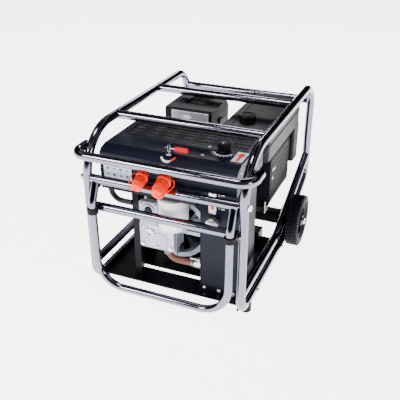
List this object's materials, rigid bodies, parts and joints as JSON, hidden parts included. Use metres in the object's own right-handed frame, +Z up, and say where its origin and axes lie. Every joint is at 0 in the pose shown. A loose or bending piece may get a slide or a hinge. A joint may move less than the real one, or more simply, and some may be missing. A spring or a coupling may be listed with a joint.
{
  "type": "portable hydraulic power pack",
  "caption": "Petrol hydraulic power pack in a polished bent-tube cage with two wheels, fold-down pull handle, control console, oil tank, pump, filter and capped hose couplings.",
  "frame": {"origin": "on the floor under the middle of the bounding box", "axes": "+X to the right seen from the control side, +Y from the control side to the back, +Z up"},
  "size_m": [0.727, 0.9486, 0.617],
  "materials": {
    "chrome_tube": "polished stainless tube, mirror bright",
    "zinc_steel": "zinc plated",
    "machined_steel": "machined steel",
    "black_coat": "satin black powder coat",
    "navy_coat": "blue-black powder coat",
    "grey_paint": "light grey paint",
    "white_paint": "white enamel",
    "black_rubber": "moulded rubber",
    "tyre_rubber": "tyre rubber",
    "hose_rubber": "hydraulic hose",
    "copper_hose": "brown braided hose",
    "orange_rubber": "red-orange rubber",
    "red_plastic": "red grip",
    "black_plastic": "moulded plastic",
    "wheel_plastic": "wheel hub plastic",
    "gauge_plastic": "clear gauge with metal frame",
    "silver_plate": "satin plate",
    "cast_aluminium": "as cast",
    "cast_iron_grey": "grey painted casting",
    "cooler_aluminium": "black painted fins",
    "dark_muffler": "heat-resistant black",
    "nickel_brass": "nickel plated brass"
  },
  "bodies": {
    "root": {"air_cleaner": "black_plastic", "air_cleaner_plate": "silver_plate", "axle_beam": "black_coat", "base_tray": "black_coat", "bell_housing": "cast_aluminium", "blower_housing": "black_coat", "bumper_bar": "chrome_tube", "control_console": "navy_coat", "cooler_core": "cooler_aluminium", "crankcase": "cast_aluminium", "cylinder": "cast_aluminium", "fan_shroud": "grey_paint", "filter_canister": "white_paint", "front_cross_tube": "chrome_tube", "front_top_tube": "chrome_tube", "fuel_tank": "black_coat", "handle_pivot_bolts": "zinc_steel", "hydraulic_hoses": "hose_rubber", "left_hoop": "chrome_tube", "left_side_rail": "chrome_tube", "level_gauge": "gauge_plastic", "m8_screws": "zinc_steel", "middle_top_tube": "chrome_tube", "muffler": "dark_muffler", "oil_tank": "navy_coat", "pump_body": "cast_iron_grey", "quick_couplings": "nickel_brass", "rear_top_tube": "chrome_tube", "recoil_cover": "black_plastic", "right_hoop": "chrome_tube", "right_side_rail": "chrome_tube", "rubber_mounts": "black_rubber", "suction_hose": "copper_hose", "suction_tap": "nickel_brass", "support_panel": "black_coat", "valve_block": "cast_iron_grey", "wheel_axle": "zinc_steel", "wheel_nuts": "zinc_steel"},
    "handle": {"pull_handle": "chrome_tube", "handle_sleeves": "black_rubber"},
    "left_wheel": {"left_tyre": "tyre_rubber", "left_rim": "wheel_plastic"},
    "right_wheel": {"right_tyre": "tyre_rubber", "right_rim": "wheel_plastic"},
    "drive_line": {"crankshaft": "machined_steel", "cooling_fan": "black_plastic", "drive_coupling": "machined_steel", "pump_drive_gear": "machined_steel"},
    "driven_gear": {"pump_driven_gear": "machined_steel"},
    "valve_lever": {"valve_lever": "chrome_tube", "lever_grip": "red_plastic"},
    "flow_knob": {"flow_knob": "black_plastic"},
    "pressure_cap": {"pressure_cap": "orange_rubber"},
    "return_cap": {"return_cap": "orange_rubber"},
    "fuel_cap": {"fuel_cap": "black_plastic"},
    "tank_cap": {"tank_filler_cap": "nickel_brass"},
    "tap_lever": {"suction_tap_lever": "zinc_steel"},
    "recoil_grip": {"recoil_grip": "black_plastic"},
    "throttle": {"throttle_lever": "zinc_steel"}
  },
  "joints": [
    {"name": "handle_swing", "type": "hinge", "parent": "root", "child": "handle", "pos_m": [0, -0.39969, 0.444], "axis": [-1, 0, 0], "range_deg": [0, 100]},
    {"name": "left_wheel_spin", "type": "hinge", "parent": "root", "child": "left_wheel", "pos_m": [-0.33, 0.17531, 0.106], "axis": [1, 0, 0], "continuous": true},
    {"name": "right_wheel_spin", "type": "hinge", "parent": "root", "child": "right_wheel", "pos_m": [0.33, 0.17531, 0.106], "axis": [1, 0, 0], "continuous": true},
    {"name": "engine_spin", "type": "hinge", "parent": "root", "child": "drive_line", "pos_m": [-0.02, -0.19969, 0.222], "axis": [0, 1, 0], "continuous": true},
    {"name": "driven_gear_spin", "type": "hinge", "parent": "root", "child": "driven_gear", "pos_m": [-0.066, -0.30269, 0.222], "axis": [0, 1, 0], "continuous": true},
    {"name": "valve_lever_turn", "type": "hinge", "parent": "root", "child": "valve_lever", "pos_m": [0, -0.33769, 0.572], "axis": [0, 0, 1], "range_deg": [-90, 0]},
    {"name": "flow_knob_turn", "type": "hinge", "parent": "root", "child": "flow_knob", "pos_m": [0.16, -0.24969, 0.57], "axis": [0, 0, 1], "range_deg": [-135, 135]},
    {"name": "pressure_cap_pull", "type": "slide", "parent": "root", "child": "pressure_cap", "axis": [0, -0.9397, -0.342], "range_m": [0, 0.06]},
    {"name": "return_cap_pull", "type": "slide", "parent": "root", "child": "return_cap", "axis": [0, -0.9397, -0.342], "range_m": [0, 0.06]},
    {"name": "fuel_cap_turn", "type": "hinge", "parent": "root", "child": "fuel_cap", "pos_m": [0.134, 0.07031, 0.56], "axis": [0, 0, 1], "range_deg": [0, 90]},
    {"name": "tank_cap_turn", "type": "hinge", "parent": "root", "child": "tank_cap", "pos_m": [0.16, -0.34969, 0.33], "axis": [0, -1, 0], "range_deg": [0, 360]},
    {"name": "tap_lever_turn", "type": "hinge", "parent": "root", "child": "tap_lever", "pos_m": [0.092, -0.30469, 0.142], "axis": [0, 0, 1], "range_deg": [0, 90]},
    {"name": "recoil_pull", "type": "slide", "parent": "root", "child": "recoil_grip", "axis": [0, 1, 0], "range_m": [0, 0.5], "stiffness_N_per_m": 20, "springref_m": -0.3},
    {"name": "throttle_turn", "type": "hinge", "parent": "root", "child": "throttle", "pos_m": [0.061, -0.10269, 0.29], "axis": [0, 1, 0], "range_deg": [-30, 30]}
  ],
  "couplings": [
    {"joint": "driven_gear_spin", "follows": "engine_spin", "ratio": -1}
  ]
}
